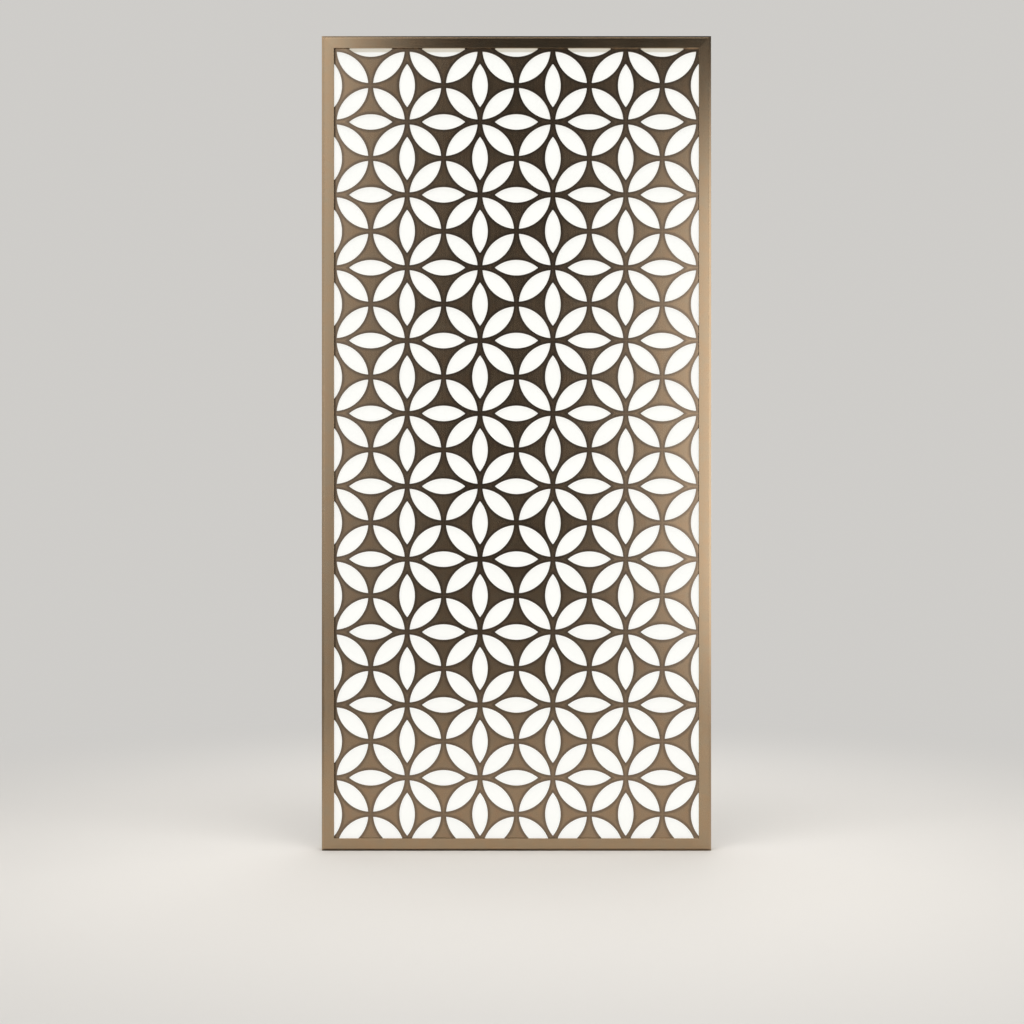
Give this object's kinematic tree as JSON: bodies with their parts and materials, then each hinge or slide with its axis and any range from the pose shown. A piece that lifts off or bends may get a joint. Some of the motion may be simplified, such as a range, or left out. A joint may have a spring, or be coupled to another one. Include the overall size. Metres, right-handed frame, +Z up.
{
  "type": "jali screen",
  "caption": "Tall framed jali screen: a bronze metal sheet cut with interlocking petals in front of a lit opal diffuser, standing on its bottom rail.",
  "frame": {"origin": "on the floor, under the middle of the screen's depth and width", "axes": "+X to the right as seen from the front, +Y from the cut front to the back, +Z up"},
  "size_m": [1, 0.06, 2.092],
  "materials": {
    "bronze_frame": "satin bronze anodised",
    "bronze_panel": "satin bronze coated",
    "black_rubber": "matte",
    "opal_diffuser": "satin opal, lit from behind",
    "mill_aluminium": "satin",
    "back_sheet": "matte dark grey coated",
    "fixing_steel": "zinc plated",
    "led_board": "matte white",
    "lens_clear": "gloss",
    "white_plastic": "matte white",
    "driver_metal": "satin",
    "circuit_board": "matte",
    "black_plastic": "matte"
  },
  "bodies": {
    "screen": {"back_panel": "back_sheet", "back_screws": "fixing_steel", "bar_connectors": "white_plastic", "board_pillars": "white_plastic", "bottom_rail": "bronze_frame", "cable_grommet": "black_rubber", "corner_cleat_bottom_left": "mill_aluminium", "corner_cleat_bottom_right": "mill_aluminium", "corner_cleat_top_left": "mill_aluminium", "corner_cleat_top_right": "mill_aluminium", "corner_screws": "fixing_steel", "diffuser_sheet": "opal_diffuser", "driver_board": "circuit_board", "driver_case": "driver_metal", "driver_components": "black_plastic", "driver_cover": "driver_metal", "driver_screws": "fixing_steel", "foot_insert_left": "fixing_steel", "foot_insert_right": "fixing_steel", "gasket_bottom": "black_rubber", "gasket_left": "black_rubber", "gasket_right": "black_rubber", "gasket_top": "black_rubber", "jali_panel": "bronze_panel", "lead_clips": "white_plastic", "led_bar_01": "led_board", "led_bar_02": "led_board", "led_bar_03": "led_board", "led_bar_04": "led_board", "led_bar_05": "led_board", "led_bar_06": "led_board", "led_bar_07": "led_board", "led_bar_08": "led_board", "led_bar_09": "led_board", "led_bar_10": "led_board", "led_bar_11": "led_board", "led_bar_12": "led_board", "led_lenses": "lens_clear", "left_stile": "bronze_frame", "low_voltage_lead": "white_plastic", "retainer_bottom": "mill_aluminium", "retainer_left": "mill_aluminium", "retainer_right": "mill_aluminium", "retainer_screws": "fixing_steel", "retainer_top": "mill_aluminium", "right_stile": "bronze_frame", "top_rail": "bronze_frame", "wall_inserts": "fixing_steel"},
    "foot_pad_left": {"foot_pad_left": "black_plastic"},
    "foot_stud_left": {"foot_stud_left": "fixing_steel"},
    "foot_pad_right": {"foot_pad_right": "black_plastic"},
    "foot_stud_right": {"foot_stud_right": "fixing_steel"}
  },
  "joints": [
    {"name": "foot_lift_left", "type": "slide", "parent": "screen", "child": "foot_pad_left", "axis": [0, 0, -1], "range_m": [0, 0.012]},
    {"name": "foot_turn_left", "type": "hinge", "parent": "foot_pad_left", "child": "foot_stud_left", "pos_m": [-0.35, 0.0025, 0.02], "axis": [0, 0, -1], "range_deg": [0, 2880]},
    {"name": "foot_lift_right", "type": "slide", "parent": "screen", "child": "foot_pad_right", "axis": [0, 0, -1], "range_m": [0, 0.012]},
    {"name": "foot_turn_right", "type": "hinge", "parent": "foot_pad_right", "child": "foot_stud_right", "pos_m": [0.35, 0.0025, 0.02], "axis": [0, 0, -1], "range_deg": [0, 2880]}
  ],
  "couplings": [
    {"joint": "foot_turn_left", "follows": "foot_lift_left", "rad_per_m": 4188.8},
    {"joint": "foot_turn_right", "follows": "foot_lift_right", "rad_per_m": 4188.8}
  ]
}
